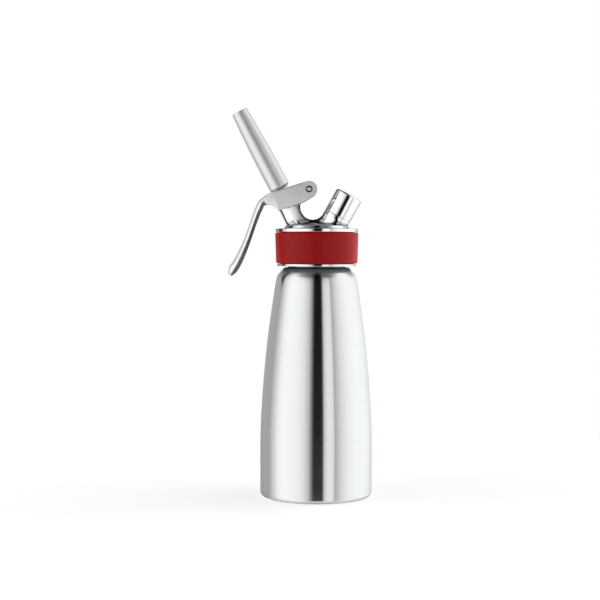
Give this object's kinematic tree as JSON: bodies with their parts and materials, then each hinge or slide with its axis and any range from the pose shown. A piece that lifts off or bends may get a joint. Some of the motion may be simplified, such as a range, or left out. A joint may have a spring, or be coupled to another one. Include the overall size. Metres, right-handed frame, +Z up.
{
  "type": "whipped cream dispenser",
  "caption": "Whipped cream dispenser: tapered steel bottle, screw-on cast head with grip band, leaning decorator tip on a lever valve, and capped charger thread.",
  "frame": {"origin": "centre of the bottle's flat base, on the bottle's axis", "axes": "+Z up along the bottle's axis, -X towards the lever and the decorator tip, +X towards the charger cap"},
  "size_m": [0.1115, 0.0864, 0.2982],
  "materials": {
    "bottle_steel": "brushed round the body, satin",
    "gasket_rubber": "moulded silicone, matt",
    "head_steel": "cast and mirror polished",
    "band_silicone": "moulded silicone, satin",
    "lever_steel": "cast, satin blasted",
    "bush_plastic": "moulded",
    "pin_steel": "turned and polished",
    "valve_steel": "turned",
    "seal_rubber": "moulded",
    "spring_steel": "drawn wire",
    "tip_steel": "drawn and brushed along its length",
    "holder_brass": "turned",
    "cap_steel": "turned and mirror polished"
  },
  "bodies": {
    "bottle": {"bottle": "bottle_steel"},
    "gasket": {"head_gasket": "gasket_rubber"},
    "head": {"head": "head_steel", "grip_band": "band_silicone", "lever_pin": "pin_steel", "stem_ring": "seal_rubber", "valve_spring": "spring_steel", "charger_stud": "valve_steel", "piercing_pin": "pin_steel", "pin_holder": "holder_brass", "charger_seal": "seal_rubber", "check_valve_disc": "seal_rubber"},
    "lever": {"lever": "lever_steel", "lever_bush_front": "bush_plastic", "lever_bush_back": "bush_plastic"},
    "valve": {"valve_stem": "valve_steel", "valve_seal": "seal_rubber", "valve_nut": "valve_steel", "tip_adapter": "valve_steel", "adapter_ring": "seal_rubber"},
    "tip": {"decorator_tip": "tip_steel"},
    "cap": {"charger_cap": "cap_steel"}
  },
  "joints": [
    {"name": "head_rise", "type": "slide", "parent": "bottle", "child": "gasket", "axis": [0, 0, 1], "range_m": [0, 0.0101]},
    {"name": "head_turn", "type": "hinge", "parent": "gasket", "child": "head", "pos_m": [0, 0, 0.19], "axis": [0, 0, 1], "range_deg": [0, 900]},
    {"name": "lever_pivot", "type": "hinge", "parent": "head", "child": "lever", "pos_m": [-0.0061, 0, 0.2359], "axis": [0, -1, 0], "range_deg": [0, 10], "stiffness_Nm_per_rad": 1.1, "springref_deg": -9.74},
    {"name": "valve_stroke", "type": "slide", "parent": "head", "child": "valve", "axis": [0.4726, 0, -0.8813], "range_m": [0, 0.0034], "deforming": ["valve_spring"]},
    {"name": "tip_lift", "type": "slide", "parent": "valve", "child": "tip", "axis": [-0.4726, 0, 0.8813], "range_m": [0, 0.014]},
    {"name": "cap_lift", "type": "slide", "parent": "head", "child": "cap", "axis": [0.4848, 0, 0.8746], "range_m": [0, 0.016]}
  ],
  "couplings": [
    {"joint": "head_rise", "follows": "head_turn", "m_per_rad": 0.00063662},
    {"joint": "valve_stroke", "follows": "lever_pivot", "m_per_rad": 0.01907}
  ]
}
